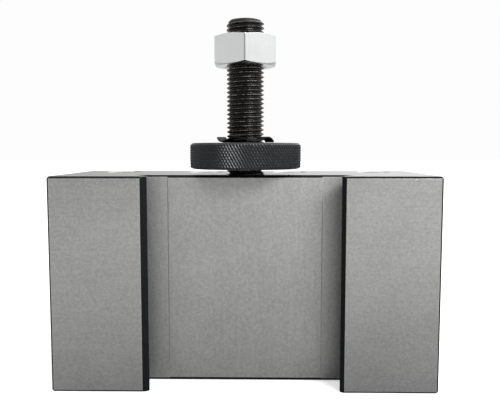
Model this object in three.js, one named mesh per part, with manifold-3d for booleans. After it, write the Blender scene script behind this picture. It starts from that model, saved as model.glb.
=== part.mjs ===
// Quick change tool holder: a steel block with a dovetail on one side and a tool slot on the other.
// A threaded stud stands in its top and carries a knurled height nut, a wave spring washer and a
// hexagon jam nut. Four socket set screws clamp the tool in the slot.
// Millimetres. +Z is up, +X runs along the block, and the dovetail side faces -Y.
// The origin is under the middle of the block, on the surface it stands on.
import * as THREE from "three";
import { mergeVertices } from "three/addons/utils/BufferGeometryUtils.js";
import Module from "manifold-3d";

// Block
const BLOCK_LENGTH = 108;
const BLOCK_DEPTH = 47.6;
const BLOCK_HEIGHT = 60.4;
const BLOCK_CHAMFER = 0.6;

// Dovetail, cut through the block from top to bottom
const DOVETAIL_DEPTH = 9.4;
const FLANK_ANGLE = THREE.MathUtils.degToRad(30); // from the square of the face
const LIP_HALF_WIDTH = 26.7; // half of the mouth, between the lip edges
const LIP_CHAMFER_LEFT = 1.75;
const LIP_CHAMFER_RIGHT = 1.1;
const LIP_CHAMFER_DEPTH = 1.3;
const LIP_LAND = 0.4; // short straight wall between chamfer and flank
const PAD_HALF_WIDTH = 22;
const PAD_RISE = 0.25; // the middle of the dovetail's floor stands proud by this much
const FLOOR_CHAMFER_TOP = 0.8; // on the floor's top edge
const FLOOR_CHAMFER_BOTTOM = 1.1; // on its bottom edge

// Tool slot, cut along the whole length of the back
const SLOT_HEIGHT = 20.6;
const SLOT_DEPTH = 22.5;
const LOWER_JAW = 12.5;
const SLOT_CHAMFER = 0.8;

// Height stud, 7/16-20 UNF, screwed into the top behind the dovetail
const THREAD_RADIUS = 5.45; // 11.11 mm nominal, less the allowance of a free fit
const STUD_BEHIND_FACE = 16.5;
const STUD_TOP = 104.8;
const STUD_ENGAGED = 20;
const STUD_CHAMFER = 1;

// Knurled height nut
const DISC_RADIUS = 16.3;
const DISC_BOTTOM = 62;
const DISC_HEIGHT = 7.5;
const DISC_TOP_CHAMFER = 0.7;
const DISC_BOTTOM_CHAMFER = 1;

// Wave spring washer, with five waves
const WASHER_RADIUS = 8.4;
const WASHER_BORE = 5.8;
const WASHER_THICKNESS = 0.5;
const WAVE_AMPLITUDE = 0.55;
const WAVES = 5;
const WASHER_LIFT = 0.25; // clear of the height nut

// Hexagon jam nut, 11/16 in across flats
const NUT_ACROSS_FLATS = 17.46;
const NUT_HEIGHT = 8.7;
const NUT_BOTTOM = 91.6;
const NUT_CHAMFER_RADIUS = 8.1;
const NUT_CHAMFER_SLOPE = Math.tan(THREE.MathUtils.degToRad(20));
const NUT_TURN = THREE.MathUtils.degToRad(0.5); // how far its front corner is turned from -Y

// Clamp screws, 7/16-20 socket set screws
const SCREW_COUNT = 4;
const SCREW_PITCH = 27;
const SCREW_LENGTH = 25;
const SCREW_BELOW_TOP = 0.2;
const SCREW_END_CHAMFER = 1;
const SCREW_POINT_RADIUS = 3.5;
const SOCKET_ACROSS_FLATS = 5.56; // 7/32 in
const SOCKET_DEPTH = 5.5;

// Holes and fits
const THREAD_CLEARANCE = 0.3; // threads are plain cylinders, so a hole is this much larger in radius
const COUNTERSINK = 0.8; // in the nuts
const SCREW_HOLE_CHAMFER = 0.4;
const STUD_HOLE_CHAMFER = 0.1;
const OVERSHOOT = 5; // how far a cutter runs past the face it opens
const SEGMENTS = 48;
const MERGE_DISTANCE = 1e-4;

// Levels and places that follow from the sizes above
const FACE_Y = -BLOCK_DEPTH / 2;
const BACK_Y = BLOCK_DEPTH / 2;
const FLOOR_Y = FACE_Y + DOVETAIL_DEPTH;
const BESIDE_PAD_Y = FLOOR_Y + PAD_RISE;
const FLANK_START_Y = FACE_Y + LIP_CHAMFER_DEPTH + LIP_LAND;
const FLOOR_HALF_WIDTH = LIP_HALF_WIDTH + (BESIDE_PAD_Y - FLANK_START_Y) * Math.tan(FLANK_ANGLE);
const SLOT_WALL_Y = BACK_Y - SLOT_DEPTH;
const SLOT_ROOF = LOWER_JAW + SLOT_HEIGHT;
const STUD_Y = FACE_Y + STUD_BEHIND_FACE;
const SCREW_Y = BACK_Y - SLOT_DEPTH / 2;
const SCREW_TOP = BLOCK_HEIGHT - SCREW_BELOW_TOP;
const HOLE_RADIUS = THREAD_RADIUS + THREAD_CLEARANCE;

const groundSteel = new THREE.MeshStandardMaterial({ color: 0x8f8f8d, roughness: 0.42, metalness: 0.9 });
const blackSteel = new THREE.MeshStandardMaterial({ color: 0x1c1d1f, roughness: 0.45, metalness: 0.7 });
const knurledSteel = new THREE.MeshStandardMaterial({ color: 0x33363a, roughness: 0.5, metalness: 0.7 });
const zincPlate = new THREE.MeshStandardMaterial({ color: 0xd3d6d6, roughness: 0.3, metalness: 0.9 });

const wasm = await Module();
wasm.setup();

// A closed three.js geometry as a solid that can be joined and cut.
function toSolid(geometry) {
  const bare = geometry.clone();
  bare.deleteAttribute("normal");
  bare.deleteAttribute("uv");
  const merged = mergeVertices(bare, MERGE_DISTANCE);
  const corners = merged.index.array;
  const triangles = [];
  for (let i = 0; i < corners.length; i += 3) {
    const [a, b, c] = [corners[i], corners[i + 1], corners[i + 2]];
    if (a !== b && b !== c && c !== a) triangles.push(a, b, c);
  }
  const mesh = new wasm.Mesh({
    numProp: 3,
    vertProperties: new Float32Array(merged.attributes.position.array),
    triVerts: new Uint32Array(triangles),
  });
  return new wasm.Manifold(mesh);
}

function toGeometry(solid) {
  const { vertProperties, triVerts } = solid.getMesh();
  const geometry = new THREE.BufferGeometry();
  geometry.setAttribute("position", new THREE.BufferAttribute(vertProperties, 3));
  geometry.setIndex(new THREE.BufferAttribute(triVerts, 1));
  geometry.computeVertexNormals();
  return geometry;
}

function outline(points) {
  return new THREE.Shape(points.map(([x, y]) => new THREE.Vector2(x, y)));
}

function extruded(points, depth) {
  return new THREE.ExtrudeGeometry(outline(points), { depth, bevelEnabled: false });
}

// A prism whose outline is drawn in Y and Z, centred on X = 0.
function prismAlongX(points, length) {
  const axes = new THREE.Matrix4().makeBasis(
    new THREE.Vector3(0, 1, 0),
    new THREE.Vector3(0, 0, 1),
    new THREE.Vector3(1, 0, 0),
  );
  return extruded(points, length).translate(0, 0, -length / 2).applyMatrix4(axes);
}

// A prism whose outline is drawn in X and Z, centred on Y = 0.
function prismAlongY(points, length) {
  return extruded(points, length).translate(0, 0, -length / 2).rotateX(Math.PI / 2);
}

// A turned shape about the Z axis, from [radius, height] points that run upwards on its outside.
function turned(profile, segments = SEGMENTS) {
  const points = profile.map(([radius, height]) => new THREE.Vector2(radius, height));
  return new THREE.LatheGeometry(points, segments).rotateX(Math.PI / 2);
}

// A rectangle with its four corners cut off.
function chamferedRectangle(left, bottom, right, top, chamfer) {
  return [
    [left + chamfer, bottom],
    [right - chamfer, bottom],
    [right, bottom + chamfer],
    [right, top - chamfer],
    [right - chamfer, top],
    [left + chamfer, top],
    [left, top - chamfer],
    [left, bottom + chamfer],
  ];
}

// A cutter for a threaded hole that opens upwards at height top, with a chamfered mouth.
function holeCutter(bottom, top, chamfer) {
  const rim = HOLE_RADIUS + chamfer;
  return turned([
    [0, bottom],
    [HOLE_RADIUS, bottom],
    [HOLE_RADIUS, top - chamfer],
    [rim, top],
    [rim, top + OVERSHOOT],
    [0, top + OVERSHOOT],
  ]);
}

// The block seen from above: chamfered corners, and the dovetail open at the front.
function planOutline() {
  const half = BLOCK_LENGTH / 2;
  const c = BLOCK_CHAMFER;
  const lipY = FACE_Y + LIP_CHAMFER_DEPTH;
  const besidePad = PAD_HALF_WIDTH + PAD_RISE;
  return [
    [-half + c, FACE_Y],
    [-LIP_HALF_WIDTH - LIP_CHAMFER_LEFT, FACE_Y],
    [-LIP_HALF_WIDTH, lipY],
    [-LIP_HALF_WIDTH, FLANK_START_Y],
    [-FLOOR_HALF_WIDTH, BESIDE_PAD_Y],
    [-besidePad, BESIDE_PAD_Y],
    [-PAD_HALF_WIDTH, FLOOR_Y],
    [PAD_HALF_WIDTH, FLOOR_Y],
    [besidePad, BESIDE_PAD_Y],
    [FLOOR_HALF_WIDTH, BESIDE_PAD_Y],
    [LIP_HALF_WIDTH, FLANK_START_Y],
    [LIP_HALF_WIDTH, lipY],
    [LIP_HALF_WIDTH + LIP_CHAMFER_RIGHT, FACE_Y],
    [half - c, FACE_Y],
    [half, FACE_Y + c],
    [half, BACK_Y - c],
    [half - c, BACK_Y],
    [-half + c, BACK_Y],
    [-half, BACK_Y - c],
    [-half, FACE_Y + c],
  ];
}

// The tool slot seen from the end, with chamfered edges at its mouth.
function slotOutline() {
  const c = SLOT_CHAMFER;
  return [
    [SLOT_WALL_Y, LOWER_JAW],
    [BACK_Y - c, LOWER_JAW],
    [BACK_Y + OVERSHOOT, LOWER_JAW - c - OVERSHOOT],
    [BACK_Y + OVERSHOOT, SLOT_ROOF + c + OVERSHOOT],
    [BACK_Y - c, SLOT_ROOF],
    [SLOT_WALL_Y, SLOT_ROOF],
  ];
}

// A wedge that chamfers the top edge of the dovetail's floor, from one flank to the other.
function topEdgeCutter() {
  const points = [
    [FLOOR_Y, BLOCK_HEIGHT - FLOOR_CHAMFER_TOP],
    [FLOOR_Y + FLOOR_CHAMFER_TOP + OVERSHOOT, BLOCK_HEIGHT + OVERSHOOT],
    [FLOOR_Y, BLOCK_HEIGHT + OVERSHOOT],
  ];
  return prismAlongX(points, 2 * FLOOR_HALF_WIDTH);
}

// The same for its bottom edge.
function bottomEdgeCutter() {
  const points = [
    [FLOOR_Y, FLOOR_CHAMFER_BOTTOM],
    [FLOOR_Y, -OVERSHOOT],
    [FLOOR_Y + FLOOR_CHAMFER_BOTTOM + OVERSHOOT, -OVERSHOOT],
  ];
  return prismAlongX(points, 2 * FLOOR_HALF_WIDTH);
}

function holderBody() {
  const c = BLOCK_CHAMFER;
  const half = BLOCK_LENGTH / 2;
  const side = chamferedRectangle(FACE_Y, 0, BACK_Y, BLOCK_HEIGHT, c);
  const front = chamferedRectangle(-half, 0, half, BLOCK_HEIGHT, c);
  let body = toSolid(extruded(planOutline(), BLOCK_HEIGHT))
    .intersect(toSolid(prismAlongX(side, BLOCK_LENGTH + OVERSHOOT)))
    .intersect(toSolid(prismAlongY(front, BLOCK_DEPTH + OVERSHOOT)))
    .subtract(toSolid(prismAlongX(slotOutline(), BLOCK_LENGTH + OVERSHOOT)))
    .subtract(toSolid(topEdgeCutter()))
    .subtract(toSolid(bottomEdgeCutter()));
  const studHoleFoot = BLOCK_HEIGHT - STUD_ENGAGED - THREAD_CLEARANCE;
  const studHole = holeCutter(studHoleFoot, BLOCK_HEIGHT, STUD_HOLE_CHAMFER);
  body = body.subtract(toSolid(studHole.translate(0, STUD_Y, 0)));
  const screwHole = holeCutter(SLOT_ROOF - OVERSHOOT, BLOCK_HEIGHT, SCREW_HOLE_CHAMFER);
  for (const x of screwPlaces()) {
    body = body.subtract(toSolid(screwHole.clone().translate(x, SCREW_Y, 0)));
  }
  return toGeometry(body);
}

function screwPlaces() {
  return Array.from({ length: SCREW_COUNT }, (_, i) => (i - (SCREW_COUNT - 1) / 2) * SCREW_PITCH);
}

function heightStud() {
  const foot = BLOCK_HEIGHT - STUD_ENGAGED;
  return turned([
    [0, foot],
    [THREAD_RADIUS - STUD_CHAMFER, foot],
    [THREAD_RADIUS, foot + STUD_CHAMFER],
    [THREAD_RADIUS, STUD_TOP - STUD_CHAMFER],
    [THREAD_RADIUS - STUD_CHAMFER, STUD_TOP],
    [0, STUD_TOP],
  ]);
}

function heightNut() {
  const top = DISC_BOTTOM + DISC_HEIGHT;
  return turned([
    [HOLE_RADIUS + COUNTERSINK, DISC_BOTTOM],
    [DISC_RADIUS - DISC_BOTTOM_CHAMFER, DISC_BOTTOM],
    [DISC_RADIUS, DISC_BOTTOM + DISC_BOTTOM_CHAMFER],
    [DISC_RADIUS, top - DISC_TOP_CHAMFER],
    [DISC_RADIUS - DISC_TOP_CHAMFER, top],
    [HOLE_RADIUS + COUNTERSINK, top],
    [HOLE_RADIUS, top - COUNTERSINK],
    [HOLE_RADIUS, DISC_BOTTOM + COUNTERSINK],
    [HOLE_RADIUS + COUNTERSINK, DISC_BOTTOM],
  ], 2 * SEGMENTS);
}

// A flat ring bent into waves: it is high at -X and low at +X.
function lockWasher() {
  const low = DISC_BOTTOM + DISC_HEIGHT + WASHER_LIFT + WAVE_AMPLITUDE;
  const ring = turned([
    [WASHER_BORE, low],
    [WASHER_RADIUS, low],
    [WASHER_RADIUS, low + WASHER_THICKNESS],
    [WASHER_BORE, low + WASHER_THICKNESS],
    [WASHER_BORE, low],
  ], 2 * SEGMENTS);
  const place = ring.attributes.position;
  for (let i = 0; i < place.count; i += 1) {
    const angle = Math.atan2(place.getY(i), place.getX(i));
    place.setZ(i, place.getZ(i) - WAVE_AMPLITUDE * Math.cos(WAVES * angle));
  }
  return ring;
}

function hexagon(acrossFlats, firstCorner) {
  const radius = acrossFlats / Math.sqrt(3);
  return Array.from({ length: 6 }, (_, i) => {
    const angle = firstCorner + (i * Math.PI) / 3;
    return [radius * Math.cos(angle), radius * Math.sin(angle)];
  });
}

function jamNut() {
  const top = NUT_BOTTOM + NUT_HEIGHT;
  const cornerRadius = NUT_ACROSS_FLATS / Math.sqrt(3) + OVERSHOOT;
  const drop = (cornerRadius - NUT_CHAMFER_RADIUS) * NUT_CHAMFER_SLOPE;
  const blank = toSolid(turned([
    [0, NUT_BOTTOM],
    [NUT_CHAMFER_RADIUS, NUT_BOTTOM],
    [cornerRadius, NUT_BOTTOM + drop],
    [cornerRadius, top - drop],
    [NUT_CHAMFER_RADIUS, top],
    [0, top],
  ], 2 * SEGMENTS));
  const prism = extruded(hexagon(NUT_ACROSS_FLATS, NUT_TURN - Math.PI / 2), NUT_HEIGHT + 2 * OVERSHOOT);
  const rim = HOLE_RADIUS + COUNTERSINK;
  const bore = toSolid(turned([
    [0, NUT_BOTTOM - OVERSHOOT],
    [rim, NUT_BOTTOM - OVERSHOOT],
    [rim, NUT_BOTTOM],
    [HOLE_RADIUS, NUT_BOTTOM + COUNTERSINK],
    [HOLE_RADIUS, top - COUNTERSINK],
    [rim, top],
    [rim, top + OVERSHOOT],
    [0, top + OVERSHOOT],
  ]));
  const nut = toSolid(prism.translate(0, 0, NUT_BOTTOM - OVERSHOOT)).intersect(blank).subtract(bore);
  return toGeometry(nut);
}

function clampScrew() {
  const foot = SCREW_TOP - SCREW_LENGTH;
  const body = toSolid(turned([
    [0, foot],
    [SCREW_POINT_RADIUS, foot],
    [THREAD_RADIUS, foot + THREAD_RADIUS - SCREW_POINT_RADIUS],
    [THREAD_RADIUS, SCREW_TOP - SCREW_END_CHAMFER],
    [THREAD_RADIUS - SCREW_END_CHAMFER, SCREW_TOP],
    [0, SCREW_TOP],
  ]));
  const socket = extruded(hexagon(SOCKET_ACROSS_FLATS, 0), SOCKET_DEPTH + OVERSHOOT);
  return toGeometry(body.subtract(toSolid(socket.translate(0, 0, SCREW_TOP - SOCKET_DEPTH))));
}

function piece(name, geometry, material, x = 0, y = 0) {
  const mesh = new THREE.Mesh(geometry, material);
  mesh.name = name;
  mesh.position.set(x, y, 0);
  return mesh;
}

const holder = new THREE.Group();
holder.add(piece("holder_body", holderBody(), groundSteel));

const heightStack = new THREE.Group();
heightStack.position.set(0, STUD_Y, 0);
heightStack.add(piece("height_stud", heightStud(), blackSteel));
heightStack.add(piece("height_nut", heightNut(), knurledSteel));
heightStack.add(piece("lock_washer", lockWasher(), blackSteel));
heightStack.add(piece("jam_nut", jamNut(), zincPlate));
holder.add(heightStack);

screwPlaces().forEach((x, i) => {
  holder.add(piece(`clamp_screw_${i + 1}`, clampScrew(), blackSteel, x, SCREW_Y));
});

export default holder;
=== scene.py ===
"""The looks of a quick change tool holder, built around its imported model.

Metres, +Z up, and the dovetail faces -Y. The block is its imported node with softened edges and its
finishes. The stud, screws, nuts and washer are rebuilt with modelled threads, a modelled knurl and
rounded edges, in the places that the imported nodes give.
"""
import math

import bmesh
import bpy
import numpy as np
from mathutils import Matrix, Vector


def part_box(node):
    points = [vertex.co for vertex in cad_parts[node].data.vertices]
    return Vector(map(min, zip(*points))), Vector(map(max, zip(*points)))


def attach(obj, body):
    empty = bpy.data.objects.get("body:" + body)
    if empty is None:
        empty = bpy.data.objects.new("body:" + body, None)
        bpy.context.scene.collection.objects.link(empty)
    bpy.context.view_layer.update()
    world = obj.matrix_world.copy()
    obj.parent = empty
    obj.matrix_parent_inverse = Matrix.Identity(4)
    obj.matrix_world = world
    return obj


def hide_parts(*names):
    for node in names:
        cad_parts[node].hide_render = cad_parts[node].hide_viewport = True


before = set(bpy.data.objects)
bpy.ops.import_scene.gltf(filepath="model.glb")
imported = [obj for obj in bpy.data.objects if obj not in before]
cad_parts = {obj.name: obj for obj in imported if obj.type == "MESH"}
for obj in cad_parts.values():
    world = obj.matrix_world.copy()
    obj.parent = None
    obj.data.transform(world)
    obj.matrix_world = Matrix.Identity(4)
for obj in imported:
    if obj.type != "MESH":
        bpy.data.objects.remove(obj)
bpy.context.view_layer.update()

MM = 0.001
WELD = 0.0005 * MM  # points closer than this are one point

# 7/16-20 UNF thread
PITCH = 1.27 * MM
THREAD_DEPTH = 0.6134 * PITCH
CREST_HALF = 0.0625  # half of the crest's flat, as a share of the pitch
FLANK_RUN = 0.354  # a flank's height, as a share of the pitch
CREST_ROUND = 0.02  # how far each crest and root is rounded, as a share of the pitch
TAP_THREAD_GAP = 0.06 * MM  # between a tapped thread and the screw's crests
THREAD_CLEARANCE = 0.3 * MM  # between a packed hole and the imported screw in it
ROD_SIDES = 96
TAP_SIDES = 48

# Block
EDGE_ROUND = 0.09 * MM
EDGE_STEPS = 2
SHARP_EDGE = math.radians(20)
SAME_PLANE = math.radians(1)  # faces that meet at less than this are made one
SHADE_SPLIT = math.radians(40)
DOVETAIL_DEPTH = 9.4 * MM
PAD_STEP = 0.3 * MM  # faces within this of that depth are the dovetail's floor
STEP_SLOPE = math.sin(math.radians(45))  # the sideways part of a pad step's normal
SLOT_ROOF = 33.1 * MM  # the height of the tool slot's roof
SCREW_HOLE_CHAMFER = 0.4 * MM
TAP_INSET = 0.1 * MM  # between a tapped thread's ends and its hole's
TAP_SLEEVE = 0.25 * MM  # how far a tapped thread is set into the block

# Height stud
STUD_CHAMFER = 1.0 * MM
STUD_END_RING = 0.5 * MM  # from a flat end's edge to the ring of the mesh inside it

# Both nuts
COUNTERSINK = 0.8 * MM

# Height nut
KNURL_GROOVES = 115
KNURL_CELLS = 8  # steps of the mesh across one diamond
KNURL_DEPTH = 0.28 * MM
KNURL_ANGLE = math.radians(30)
DEEP_GROOVE = 2.1  # how steeply the deep grooves rise to a diamond's top
SHALLOW_GROOVE = 0.5  # how high the floor of the shallow grooves stands
DISC_TOP_CHAMFER = 0.7 * MM
DISC_BOTTOM_ROUND = 1.0 * MM
DISC_SHARP = math.radians(12)
TOP_RING = 0.3 * MM  # rings of the mesh that keep the faces beside an edge flat
BOTTOM_RING = 0.5 * MM
MOUTH_RING = 0.2 * MM

# Jam nut
NUT_ACROSS_FLATS = 17.46 * MM
NUT_FACE_RADIUS = 8.1 * MM
NUT_CHAMFER_SLOPE = math.tan(math.radians(20))
NUT_TURN = math.radians(0.5)  # from one corner pointing straight to the front
NUT_FIRST_CORNER = NUT_TURN - math.pi / 2
NUT_CORNER_ROUND = 0.6 * MM
NUT_CORNER_BLEND = 0.02 * MM
NUT_CORNER_TURN = 0.045  # radians to each side of a corner where directions are close together
NUT_FACE_STEPS = 13
NUT_LEAST_CHAMFER = 0.02 * MM
NUT_EDGE_ROUND = 0.12 * MM

# Wave washer
WASHER_BORE = 5.8 * MM
WASHER_THICKNESS = 0.5 * MM
WAVE_AMPLITUDE = 0.55 * MM
WAVES = 5
WASHER_EDGE_ROUND = 0.18 * MM
WASHER_SIDES = 180
WASHER_SHARP = math.radians(50)

# Clamp screws
SOCKET_ACROSS_FLATS = 5.56 * MM
SOCKET_DEPTH = 5.5 * MM
SOCKET_RIM = 0.2 * MM
SOCKET_DRILL_POINT = 1.0 * MM
SCREW_POINT_RADIUS = 3.5 * MM
SCREW_CUP_RADIUS = 2.6 * MM
SCREW_CUP_DEPTH = 0.9 * MM
SCREW_NUMBERS = range(1, 5)

# Camera
LENS = 45.81
SENSOR = 36
CAMERA_PLACE = (0.0045, -0.19584, 0.06734)
CAMERA_DIP = math.radians(5.157)
CAMERA_TURN = math.radians(0.964)

# Stage
FLOOR_REACH = 4.0
FLOOR_SHADE = (0.05, 0, 0)  # the middle of the dark patch that only reflections see
FLOOR_GLOW = 0.5  # added to what the camera sees of the floor, to keep it near white


class Box:
    """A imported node's box at rest, as its lowest and highest corners and its middle."""

    def __init__(self, node):
        low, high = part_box(node)
        self.low = Vector(low)
        self.high = Vector(high)
        self.middle = (self.low + self.high) / 2
        self.radius = (self.high.x - self.low.x) / 2


block_box = Box("holder_body")
stud_box = Box("height_stud")
disc_box = Box("height_nut")
washer_box = Box("lock_washer")
nut_box = Box("jam_nut")
screw_boxes = {number: Box(f"clamp_screw_{number}") for number in SCREW_NUMBERS}


# ---------------------------------------------------------------- meshes


def add_piece(name, mesh, materials, body, replaced=()):
    piece = bpy.data.objects.new(name, mesh)
    bpy.context.scene.collection.objects.link(piece)
    for material in materials:
        mesh.materials.append(material)
    flatten_normals(piece)
    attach(piece, body)
    if replaced:
        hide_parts(*replaced)
    return piece


def flatten_normals(piece):
    """Shades large faces flat and the small ones between them round, and keeps the result."""
    shading = piece.modifiers.new("normals", "WEIGHTED_NORMAL")
    shading.keep_sharp = True
    shading.weight = 50
    graph = bpy.context.evaluated_depsgraph_get()
    shaded = bpy.data.meshes.new_from_object(piece.evaluated_get(graph))
    piece.modifiers.clear()
    piece.data = shaded


def rounded(points, radius, steps=2):
    """The same line with each of its inner corners turned into a short curve."""
    out = [points[0]]
    for before, corner, after in zip(points, points[1:], points[2:]):
        start = towards(corner, before, radius)
        end = towards(corner, after, radius)
        for i in range(steps + 1):
            t = i / steps
            a, b, c = (1 - t) ** 2, 2 * t * (1 - t), t * t
            out.append(tuple(a * p + b * q + c * r for p, q, r in zip(start, corner, end)))
    return out + [points[-1]]


def towards(start, end, distance):
    length = math.dist(start, end)
    share = min(distance / length, 0.45) if length else 0
    return tuple(p + (q - p) * share for p, q in zip(start, end))


def column_mesh(name, angles, column, centre, sharp=math.radians(35)):
    """A closed mesh from one line of (radius, height, wear) points for each direction in angles.

    The last direction meets the first. Points in one place become one point, so a line may
    start and end on the axis, or come back to its start.
    """
    columns = np.array([column(angle) for angle in angles])
    turn = np.array(angles)[:, None]
    radius, height, wear = columns[..., 0], columns[..., 1], columns[..., 2]
    places = np.stack(
        [centre.x + radius * np.cos(turn), centre.y + radius * np.sin(turn), height], axis=-1
    )
    wide, tall = radius.shape
    index = np.arange(wide * tall).reshape(wide, tall)
    quads = np.stack(
        [index[:-1, :-1], index[1:, :-1], index[1:, 1:], index[:-1, 1:]], axis=-1
    ).reshape(-1, 4)
    mesh = bpy.data.meshes.new(name)
    mesh.from_pydata(places.reshape(-1, 3).tolist(), [], quads.tolist())
    mesh.attributes.new("wear", "FLOAT", "POINT").data.foreach_set("value", wear.ravel())
    weld(mesh)
    mesh.shade_smooth()
    mesh.set_sharp_from_angle(angle=sharp)
    return mesh


def weld(mesh):
    edit = bmesh.new()
    edit.from_mesh(mesh)
    bmesh.ops.remove_doubles(edit, verts=edit.verts, dist=WELD)
    bmesh.ops.dissolve_degenerate(edit, edges=edit.edges, dist=WELD / 2)
    bmesh.ops.recalc_face_normals(edit, faces=edit.faces)
    edit.to_mesh(mesh)
    edit.free()


def directions(sides):
    return [2 * math.pi * i / sides for i in range(sides + 1)]


# ---------------------------------------------------------------- threads


def thread_points():
    """One pitch of the thread from crest to crest: share of the pitch, depth and wear."""
    root = CREST_HALF + FLANK_RUN
    middle = (CREST_HALF + root) / 2
    return [
        (-CREST_HALF + CREST_ROUND, 0, 1),
        (CREST_HALF - CREST_ROUND, 0, 1),
        (CREST_HALF + CREST_ROUND, 0.04 * THREAD_DEPTH, 0.7),
        (middle, 0.47 * THREAD_DEPTH, 0.15),
        (root - CREST_ROUND, 0.93 * THREAD_DEPTH, 0),
        (0.5, THREAD_DEPTH, 0),
        (1 - root + CREST_ROUND, 0.93 * THREAD_DEPTH, 0),
        (1 - middle, 0.47 * THREAD_DEPTH, 0.15),
        (1 - CREST_HALF - CREST_ROUND, 0.04 * THREAD_DEPTH, 0.7),
    ]


def thread_column(angle, bottom, top, radius_at):
    """The thread's line at one direction. radius_at(depth, height) gives its radius."""
    turns = math.ceil((top - bottom) / PITCH) + 1
    rise = angle / (2 * math.pi)
    line = []
    for turn in range(-2, turns + 1):
        for share, depth, wear in thread_points():
            height = min(max(bottom + (turn + share + rise) * PITCH, bottom), top)
            line.append((radius_at(depth, height), height, wear))
    return line


def rod_radius(radius, bottom, top, chamfer):
    """The radius of a threaded rod whose ends are chamfered down past the thread's root."""

    def at(depth, height):
        from_end = min(height - bottom, top - height)
        return min(radius - depth, radius - chamfer + from_end)

    return at


def threaded_stud():
    box = stud_box
    radius_at = rod_radius(box.radius, box.low.z, box.high.z, STUD_CHAMFER)
    ring = box.radius - STUD_CHAMFER - STUD_END_RING

    def column(angle):
        thread = thread_column(angle, box.low.z, box.high.z, radius_at)
        return [
            (0, box.low.z, 0),
            (ring, box.low.z, 0),
            *thread,
            (ring, box.high.z, 0),
            (0, box.high.z, 0),
        ]

    mesh = column_mesh("threaded_stud", directions(ROD_SIDES), column, box.middle)
    return add_piece(
        "threaded_stud", mesh, [stud_black], "holder", ["height_stud"]
    )


def hexagon_radius(angle, across_flats, first_corner=0.0):
    from_corner = (angle - first_corner) % (math.pi / 3)
    return across_flats / 2 / math.cos(from_corner - math.pi / 6)


def set_screw(number):
    """A threaded set screw with a hexagon socket above and a cup point below."""
    packed = f"clamp_screw_{number}"
    box = screw_boxes[number]
    low, high, radius = box.low.z, box.high.z, box.radius
    end = radius - SCREW_POINT_RADIUS

    def radius_at(depth, height):
        point = SCREW_POINT_RADIUS + height - low
        return min(radius - depth, point, radius - end + high - height)

    def column(angle):
        wall = hexagon_radius(angle, SOCKET_ACROSS_FLATS)
        thread = thread_column(angle, low, high, radius_at)
        return [
            (0, low + SCREW_CUP_DEPTH, 0),
            (SCREW_CUP_RADIUS / 2, low + SCREW_CUP_DEPTH, 0),
            (SCREW_CUP_RADIUS, low, 0.5),
            *thread,
            (wall + SOCKET_RIM, high, 0.6),
            (wall, high - SOCKET_RIM, 0.8),
            (wall, high - SOCKET_DEPTH, 0),
            (0, high - SOCKET_DEPTH - SOCKET_DRILL_POINT, 0),
        ]

    name = f"set_screw_{number}"
    mesh = column_mesh(name, directions(ROD_SIDES), column, box.middle)
    return add_piece(name, mesh, [screw_black], packed, [packed])


def tapped_thread(number):
    """The thread in a clamp screw's hole: a thin sleeve set into the block."""
    box = screw_boxes[number]
    crest = box.radius + TAP_THREAD_GAP
    hole = box.radius + THREAD_CLEARANCE
    low = block_box.low.z + SLOT_ROOF + TAP_INSET
    high = block_box.high.z - SCREW_HOLE_CHAMFER - TAP_INSET
    share = (hole - crest) / THREAD_DEPTH

    def radius_at(depth, height):
        return crest + depth * share

    def column(angle):
        outside = hole + TAP_SLEEVE
        thread = thread_column(angle, low, high, radius_at)
        return [(outside, high, 0), (outside, low, 0), *thread, (outside, high, 0)]

    name = f"tapped_thread_{number}"
    mesh = column_mesh(name, directions(TAP_SIDES), column, box.middle)
    return add_piece(name, mesh, [hole_black], "holder")


# ---------------------------------------------------------------- height stack


disc_circumference = 2 * math.pi * disc_box.radius
knurl_width = disc_circumference / KNURL_GROOVES
knurl_rise = knurl_width / math.tan(KNURL_ANGLE)


def knurl(turn, height):
    """How high the knurl stands at one place: 0 in a deep groove and 1 on a diamond's top.

    The grooves that lean left as they rise are cut deeper than the ones that cross them.
    """
    rise = height / knurl_rise
    first, second = [abs(value - round(value)) for value in (turn + rise, turn - rise)]
    return min(1.0, DEEP_GROOVE * first, SHALLOW_GROOVE + second)


def knurled_nut():
    """The round height nut: a diamond knurl on its rim, chamfered and faced."""
    box = disc_box
    low, high, radius = box.low.z, box.high.z, box.radius
    hole = stud_box.radius + THREAD_CLEARANCE
    mouth = hole + COUNTERSINK
    row = knurl_rise / KNURL_CELLS
    rows = np.arange(low, high, row)

    def rim_limit(height):
        top = radius - max(0, height - (high - DISC_TOP_CHAMFER))
        below = max(0, low + DISC_BOTTOM_ROUND - height)
        bottom = radius - DISC_BOTTOM_ROUND + math.sqrt(DISC_BOTTOM_ROUND**2 - below**2)
        return min(top, bottom)

    def column(angle):
        turn = angle / (2 * math.pi) * KNURL_GROOVES
        line = [(hole, (low + high) / 2, 0), (hole, low + COUNTERSINK, 0), (mouth, low, 0)]
        line.append((radius - DISC_BOTTOM_ROUND - BOTTOM_RING, low, 0))
        line.append((radius - DISC_BOTTOM_ROUND, low, 0))
        for height in rows[1:]:
            height = float(height)
            up = knurl(turn, height - low)
            cut = radius - KNURL_DEPTH * (1 - up)
            line.append((min(cut, rim_limit(height)), height, up))
        line.append((radius - DISC_TOP_CHAMFER, high, 0.4))
        line.append((radius - DISC_TOP_CHAMFER - TOP_RING, high, 0.2))
        line.append((mouth + MOUTH_RING, high, 0))
        line.append((mouth, high, 0.3))
        line.append((hole, high - COUNTERSINK, 0))
        line.append((hole, (low + high) / 2, 0))
        return line

    mesh = column_mesh(
        "knurled_nut",
        directions(KNURL_GROOVES * KNURL_CELLS),
        column,
        box.middle,
        sharp=DISC_SHARP,
    )
    return add_piece(
        "knurled_nut", mesh, [knurl_black], "height_nut", ["height_nut"]
    )


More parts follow.
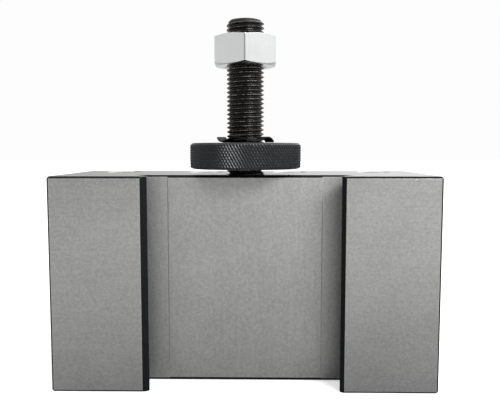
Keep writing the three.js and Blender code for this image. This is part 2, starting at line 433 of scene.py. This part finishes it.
def wave_washer():
    """A flat ring bent into waves, with rounded edges."""
    box = washer_box
    middle = (box.low.z + box.high.z) / 2
    half = WASHER_THICKNESS / 2
    inner, outer = WASHER_BORE, box.radius

    def column(angle):
        wave = middle - WAVE_AMPLITUDE * math.cos(WAVES * angle)
        section = [
            (inner, wave),
            (inner, wave - half),
            (outer, wave - half),
            (outer, wave + half),
            (inner, wave + half),
            (inner, wave),
        ]
        return [(radius, height, 0.3) for radius, height in rounded(section, WASHER_EDGE_ROUND, 3)]

    around = directions(WASHER_SIDES)
    mesh = column_mesh("wave_washer", around, column, box.middle, sharp=WASHER_SHARP)
    return add_piece(
        "wave_washer", mesh, [washer_black], "lock_washer", ["lock_washer"]
    )


def nut_directions():
    """Directions about the jam nut, close together at its six rounded corners."""
    corner = NUT_CORNER_TURN
    steps = [-corner, -corner * 0.6, -corner * 0.25, 0, corner * 0.25, corner * 0.6, corner]
    spread = np.linspace(corner, math.pi / 3 - corner, NUT_FACE_STEPS)[1:-1].tolist()
    out = [NUT_FIRST_CORNER + i * math.pi / 3 + step for i in range(6) for step in steps + spread]
    return out + [out[0] + 2 * math.pi]


def nut_outline(angle):
    """The jam nut's radius in one direction, with its corners rounded."""
    sharp = hexagon_radius(angle, NUT_ACROSS_FLATS, NUT_FIRST_CORNER)
    blunt = NUT_ACROSS_FLATS / math.sqrt(3) - NUT_CORNER_ROUND * (2 / math.sqrt(3) - 1)
    over = (blunt - sharp) / NUT_CORNER_BLEND
    return blunt - NUT_CORNER_BLEND * math.log(math.exp(over) + 1)


def hex_nut():
    box = nut_box
    low, high = box.low.z, box.high.z
    hole = stud_box.radius + THREAD_CLEARANCE
    mouth = hole + COUNTERSINK
    middle = (low + high) / 2

    def column(angle):
        radius = nut_outline(angle)
        drop = max(radius - NUT_FACE_RADIUS, NUT_LEAST_CHAMFER) * NUT_CHAMFER_SLOPE
        section = [
            (hole, middle),
            (hole, low + COUNTERSINK),
            (mouth, low),
            (NUT_FACE_RADIUS, low),
            (radius, low + drop),
            (radius, high - drop),
            (NUT_FACE_RADIUS, high),
            (mouth, high),
            (hole, high - COUNTERSINK),
            (hole, middle),
        ]
        return [(r, z, 0) for r, z in rounded(section, NUT_EDGE_ROUND)]

    mesh = column_mesh("hex_nut", nut_directions(), column, box.middle)
    return add_piece("hex_nut", mesh, [zinc], "jam_nut", ["jam_nut"])


# ---------------------------------------------------------------- block


GROUND_ALONG_X, GROUND_UPRIGHT, GROUND_TOP, BLACK, NEW_EDGE = range(5)


def face_finish(face):
    """Bright steel on the outer faces, the dovetail's floor and the screw mouths, else black."""
    normal = face.normal
    centre = face.calc_center_median()
    floor_y = block_box.low.y + DOVETAIL_DEPTH
    upright = abs(normal.z) < 0.01
    if upright and normal.y < -0.5 and abs(centre.y - floor_y) < PAD_STEP:
        return GROUND_UPRIGHT
    if normal.z > 0.5 and in_screw_mouth(centre):
        return GROUND_TOP
    finishes = (GROUND_UPRIGHT, GROUND_ALONG_X, GROUND_TOP)
    for axis, finish in enumerate(finishes):
        sides = (block_box.low[axis], block_box.high[axis])
        on_side = min(abs(centre[axis] - side) for side in sides) < WELD
        if on_side and abs(normal[axis]) > 0.9999:
            return finish
    return BLACK


def in_screw_mouth(place):
    reach = SCREW_HOLE_CHAMFER + 2 * THREAD_CLEARANCE
    return any(
        (place - box.middle).xy.length < box.radius + reach for box in screw_boxes.values()
    )


def on_pad_step(face):
    """The slope between the dovetail's floor and its raised pad."""
    return face.material_index == GROUND_UPRIGHT and abs(abs(face.normal.x) - STEP_SLOPE) < 0.01


# Rubbed bright: the middle of each rounded edge. Painted highlight: every point of the pad's sloped
# steps, which the steel material makes brighter and less metallic so they show as light lines.
def is_rubbed_or_highlit(vertex):
    faces = vertex.link_faces
    return all(f.material_index == NEW_EDGE for f in faces) or any(on_pad_step(f) for f in faces)


def beside(face):
    """The finish of the face across this one's longest edge that already has one."""
    known = [
        (edge.calc_length(), other.material_index)
        for edge in face.edges
        for other in edge.link_faces
        if other.material_index != NEW_EDGE
    ]
    return max(known)[1] if known else NEW_EDGE


def soften_edges(edit):
    """Rounds the sharp edges. The faces this makes are NEW_EDGE until they get a finish."""
    sharp = [e for e in edit.edges if e.is_manifold and e.calc_face_angle() > SHARP_EDGE]
    bmesh.ops.bevel(
        edit,
        geom=sharp,
        offset=EDGE_ROUND,
        offset_type="OFFSET",
        segments=EDGE_STEPS,
        profile=0.5,
        affect="EDGES",
        clamp_overlap=False,
        material=NEW_EDGE,
    )


# Stores, as the points' "wear", both real rubbing on the rounded edges and a painted highlight on
# the pad's sloped steps.
def mark_rubbing_and_highlight(edit):
    wear = edit.verts.layers.float.new("wear")
    for vertex in edit.verts:
        vertex[wear] = float(is_rubbed_or_highlit(vertex))


def finish_new_edges(edit):
    """Gives the new faces the finish of the faces beside them, until none is left."""
    edges = [face for face in edit.faces if face.material_index == NEW_EDGE]
    while edges:
        finishes = [beside(face) for face in edges]
        for face, finish in zip(edges, finishes):
            face.material_index = finish
        edges = [face for face in edges if face.material_index == NEW_EDGE]


def block():
    edit = bmesh.new()
    edit.from_mesh(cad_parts["holder_body"].data)
    bmesh.ops.remove_doubles(edit, verts=edit.verts, dist=WELD)
    bmesh.ops.dissolve_limit(
        edit, angle_limit=SAME_PLANE, verts=edit.verts, edges=edit.edges
    )
    for face in edit.faces:
        face.material_index = face_finish(face)
    soften_edges(edit)
    mark_rubbing_and_highlight(edit)
    finish_new_edges(edit)
    bmesh.ops.triangulate(edit, faces=[f for f in edit.faces if len(f.verts) > 4])
    mesh = bpy.data.meshes.new("block")
    edit.to_mesh(mesh)
    edit.free()
    mesh.shade_smooth()
    mesh.set_sharp_from_angle(angle=SHADE_SPLIT)
    materials = [ground_along_x, ground_upright, ground_top, body_black]
    return add_piece("block", mesh, materials, "holder", ["holder_body"])


# ---------------------------------------------------------------- materials


def node(tree, kind, inputs=None, **settings):
    """Adds a shader node. An input is a value, or another node's output."""
    made = tree.nodes.new(kind)
    for key, value in settings.items():
        setattr(made, key, value)
    for key, value in (inputs or {}).items():
        if isinstance(value, bpy.types.NodeSocket):
            tree.links.new(value, made.inputs[key])
        else:
            made.inputs[key].default_value = value
    return made


def new_material(name, **constants):
    """A material, its node tree and its Principled node, with the constant values set on it."""
    material = bpy.data.materials.new(name)
    material.use_nodes = True
    surface = material.node_tree.nodes["Principled BSDF"]
    for key, value in constants.items():
        surface.inputs[key.replace("_", " ")].default_value = value
    return material, material.node_tree, surface


def noise(tree, scale, detail=4.0, roughness=0.55):
    """Noise whose grain is 1 / scale metres in X, Y and Z."""
    place = node(tree, "ShaderNodeTexCoord").outputs["Object"]
    spread = node(tree, "ShaderNodeMapping", {"Vector": place, "Scale": scale})
    grain = node(
        tree,
        "ShaderNodeTexNoise",
        {
            "Vector": spread.outputs["Vector"],
            "Scale": 1.0,
            "Detail": detail,
            "Roughness": roughness,
        },
    )
    return grain.outputs["Fac"]


def remap(tree, value, low, high, to_low, to_high):
    made = node(
        tree,
        "ShaderNodeMapRange",
        {"Value": value, "From Min": low, "From Max": high, "To Min": to_low, "To Max": to_high},
    )
    return made.outputs["Result"]


def multiply(tree, a, b):
    return node(tree, "ShaderNodeMath", {0: a, 1: b}, operation="MULTIPLY").outputs[0]


def add(tree, a, b):
    return node(tree, "ShaderNodeMath", {0: a, 1: b}, operation="ADD").outputs[0]


def mix_colour(tree, factor, a, b):
    made = node(tree, "ShaderNodeMix", {"Factor": factor, "A": a, "B": b}, data_type="RGBA")
    return made.outputs["Result"]


def bump(tree, surface, height, distance, strength):
    made = node(
        tree, "ShaderNodeBump", {"Height": height, "Distance": distance, "Strength": strength}
    )
    tree.links.new(made.outputs["Normal"], surface.inputs["Normal"])


def ground_steel(name, grain_scale, rough):
    """Surface-ground steel: fine parallel scratches over faint clouding, rubbed bright on its
    rounded edges, with a painted highlight on the pad's sloped steps.
    """
    material, tree, surface = new_material(name)
    scratches = noise(tree, grain_scale, detail=5, roughness=0.7)
    clouds = noise(tree, (55, 55, 55), detail=3)
    specks = noise(tree, (1500, 1500, 1500), detail=2)
    tone = add(
        tree,
        remap(tree, scratches, 0.25, 0.75, -0.3, 0.3),
        remap(tree, clouds, 0.3, 0.7, 0.35, 0.65),
    )
    tone = add(tree, tone, remap(tree, specks, 0.3, 0.7, -0.4, 0.4))
    # Brighter and less metallic where the mesh's "wear" is high: real rubbing on the rounded edges,
    # and a painted highlight on the pad's sloped steps.
    rubbed_or_highlit = node(tree, "ShaderNodeAttribute", attribute_name="wear").outputs["Fac"]
    tone = add(tree, tone, rubbed_or_highlit)
    tree.links.new(remap(tree, rubbed_or_highlit, 0, 1, 1, 0.65), surface.inputs["Metallic"])
    colour = mix_colour(tree, tone, GROUND_DARK, GROUND_BRIGHT)
    tree.links.new(colour, surface.inputs["Base Color"])
    roughness = remap(tree, scratches, 0.25, 0.75, rough - 0.05, rough + 0.05)
    tree.links.new(roughness, surface.inputs["Roughness"])
    bump(tree, surface, scratches, 0.01 * MM, 0.35)
    return material


def black_oxide(name, colour, wear, rough, specular):
    """Blackened steel, worn to bright steel where the mesh says so."""
    material, tree, surface = new_material(name, Specular_IOR_Level=specular)
    fine = noise(tree, (900, 900, 900), detail=4)
    patches = noise(tree, (160, 160, 160), detail=4)
    rubbed_or_highlit = node(tree, "ShaderNodeAttribute", attribute_name="wear").outputs["Fac"]
    amount = add(tree, multiply(tree, rubbed_or_highlit, 0.75), remap(tree, fine, 0.35, 0.65, 0, 0.25))
    amount = add(tree, amount, remap(tree, patches, 0.35, 0.65, -0.1, 0.15))
    mask = remap(tree, amount, *wear, 0, 1)
    tone = tuple(value * 1.6 for value in colour[:3]) + (1,)
    dark = mix_colour(tree, patches, colour, tone)
    tree.links.new(mix_colour(tree, mask, dark, STEEL), surface.inputs["Base Color"])
    tree.links.new(mask, surface.inputs["Metallic"])
    roughness = remap(tree, fine, 0.3, 0.7, rough - 0.06, rough + 0.1)
    tree.links.new(roughness, surface.inputs["Roughness"])
    bump(tree, surface, fine, 0.01 * MM, 0.4)
    return material


def zinc_plate(name):
    """Clear zinc plating: soft and bright, with faint draw lines on its sides."""
    material, tree, surface = new_material(name, Metallic=1.0)
    lines = noise(tree, (2600, 2600, 90), detail=4, roughness=0.6)
    clouds = noise(tree, (240, 240, 240), detail=4)
    tone = add(tree, remap(tree, lines, 0.3, 0.7, -0.2, 0.2), clouds)
    colour = mix_colour(tree, tone, ZINC_DARK, ZINC_BRIGHT)
    tree.links.new(colour, surface.inputs["Base Color"])
    tree.links.new(remap(tree, clouds, 0.3, 0.7, 0.14, 0.2), surface.inputs["Roughness"])
    bump(tree, surface, lines, 0.01 * MM, 0.3)
    return material


STEEL = (0.5, 0.49, 0.47, 1)
GROUND_DARK = (0.435, 0.433, 0.427, 1)
GROUND_BRIGHT = (0.575, 0.573, 0.566, 1)
ZINC_DARK = (0.75, 0.77, 0.765, 1)
ZINC_BRIGHT = (0.84, 0.86, 0.855, 1)

ground_along_x = ground_steel("ground_along_x", (70, 2600, 2600), 0.34)
ground_upright = ground_steel("ground_upright", (2600, 2600, 70), 0.5)
ground_top = ground_steel("ground_top", (70, 2600, 2600), 0.16)
body_black = black_oxide(
    "body_black", (0.005, 0.0055, 0.006, 1), wear=(0.7, 1.3), rough=0.34, specular=0.08
)
hole_black = black_oxide(
    "hole_black", (0.006, 0.006, 0.006, 1), wear=(0.8, 1.2), rough=0.4, specular=0.3
)
stud_black = black_oxide(
    "stud_black", (0.005, 0.0038, 0.0034, 1), wear=(0.85, 1.4), rough=0.26, specular=0.5
)
screw_black = black_oxide(
    "screw_black", (0.006, 0.006, 0.0065, 1), wear=(0.8, 1.3), rough=0.3, specular=0.4
)
washer_black = black_oxide(
    "washer_black", (0.003, 0.003, 0.0035, 1), wear=(0.7, 1.2), rough=0.45, specular=0.15
)
knurl_black = black_oxide(
    "knurl_black", (0.006, 0.0068, 0.008, 1), wear=(0.85, 2.0), rough=0.28, specular=0.38
)
zinc = zinc_plate("zinc")


# ---------------------------------------------------------------- stage


def make_camera():
    data = bpy.data.cameras.new("camera")
    data.sensor_width = SENSOR
    data.lens = LENS
    data.clip_start = 0.01
    data.clip_end = 20
    camera = bpy.data.objects.new("camera", data)
    camera.location = CAMERA_PLACE
    camera.rotation_euler = (math.pi / 2 - CAMERA_DIP, 0, CAMERA_TURN)
    bpy.context.scene.collection.objects.link(camera)
    bpy.context.scene.camera = camera


def make_floor():
    reach = FLOOR_REACH
    mesh = bpy.data.meshes.new("floor")
    corners = [(-reach, -reach, 0), (reach, -reach, 0), (reach, reach, 0), (-reach, reach, 0)]
    mesh.from_pydata(corners, [], [(0, 1, 2, 3)])
    floor = bpy.data.objects.new("floor", mesh)
    bpy.context.scene.collection.objects.link(floor)
    material, tree, surface = new_material("floor", Roughness=0.9, Specular_IOR_Level=0.0)
    ray = node(tree, "ShaderNodeLightPath").outputs
    place = node(tree, "ShaderNodeTexCoord").outputs["Object"]
    # Painted reflection: glossy rays see a dark patch on the floor near the object, which darkens
    # the object's reflections of the floor; the camera and other rays see the floor near white.
    offset = node(
        tree, "ShaderNodeVectorMath", {0: place, 1: FLOOR_SHADE}, operation="DISTANCE"
    )
    away = remap(tree, offset.outputs["Value"], 0.05, 0.45, 0, 1)
    mirrored = mix_colour(tree, away, (0.24, 0.24, 0.243, 1), (0.56, 0.56, 0.56, 1))
    colour = mix_colour(tree, ray["Is Glossy Ray"], (0.86, 0.86, 0.86, 1), mirrored)
    tree.links.new(colour, surface.inputs["Base Color"])
    glow = multiply(tree, ray["Is Camera Ray"], FLOOR_GLOW)
    surface.inputs["Emission Color"].default_value = (1, 1, 1, 1)
    tree.links.new(glow, surface.inputs["Emission Strength"])
    mesh.materials.append(material)


def area_light(name, azimuth, elevation, distance, width, height, power):
    """A soft box. Azimuth 0 is in front of the dovetail, and 90 is to its right."""
    data = bpy.data.lights.new(name, "AREA")
    data.shape = "RECTANGLE"
    data.size = width
    data.size_y = height
    data.energy = power
    light = bpy.data.objects.new(name, data)
    a, e = math.radians(azimuth), math.radians(elevation)
    out = Vector((math.sin(a) * math.cos(e), -math.cos(a) * math.cos(e), math.sin(e)))
    target = Vector((0, 0, block_box.high.z))
    light.location = target + out * distance
    light.rotation_euler = out.to_track_quat("Z", "Y").to_euler()
    bpy.context.scene.collection.objects.link(light)


def make_lights():
    area_light("key", azimuth=38, elevation=36, distance=0.7, width=0.34, height=0.22, power=4.0)
    sun = bpy.data.lights.new("overhead", "SUN")
    sun.energy = 1.4
    sun.angle = math.radians(80)
    light = bpy.data.objects.new("overhead", sun)
    light.rotation_euler = (math.radians(-12), math.radians(8), 0)
    bpy.context.scene.collection.objects.link(light)


def make_world():
    """Pale all round to the camera. The room that lights the object is darker in front of it."""
    world = bpy.data.worlds.new("room")
    world.use_nodes = True
    tree = world.node_tree
    tree.nodes.clear()
    way = node(tree, "ShaderNodeTexCoord").outputs["Generated"]
    parts = node(tree, "ShaderNodeSeparateXYZ", {0: way})
    front = remap(tree, parts.outputs["Y"], -0.95, -0.5, 0.52, 1.0)
    right = remap(tree, parts.outputs["X"], -0.25, 0.35, 0.66, 1.26)
    far_left = remap(tree, parts.outputs["X"], -0.95, -0.6, 1.5, 1.0)
    level = multiply(tree, multiply(tree, front, right), far_left)
    seen = node(tree, "ShaderNodeLightPath").outputs["Is Camera Ray"]
    room = node(tree, "ShaderNodeBackground", {"Strength": level})
    pale = node(tree, "ShaderNodeBackground", {"Color": (0.98, 0.98, 0.98, 1)})
    both = node(
        tree,
        "ShaderNodeMixShader",
        {0: seen, 1: room.outputs[0], 2: pale.outputs[0]},
    )
    node(tree, "ShaderNodeOutputWorld", {"Surface": both.outputs[0]})
    bpy.context.scene.world = world


block()
threaded_stud()
knurled_nut()
wave_washer()
hex_nut()
for number in SCREW_NUMBERS:
    set_screw(number)
    tapped_thread(number)

make_camera()
make_floor()
make_lights()
make_world()
bpy.context.scene.view_settings.view_transform = "Standard"
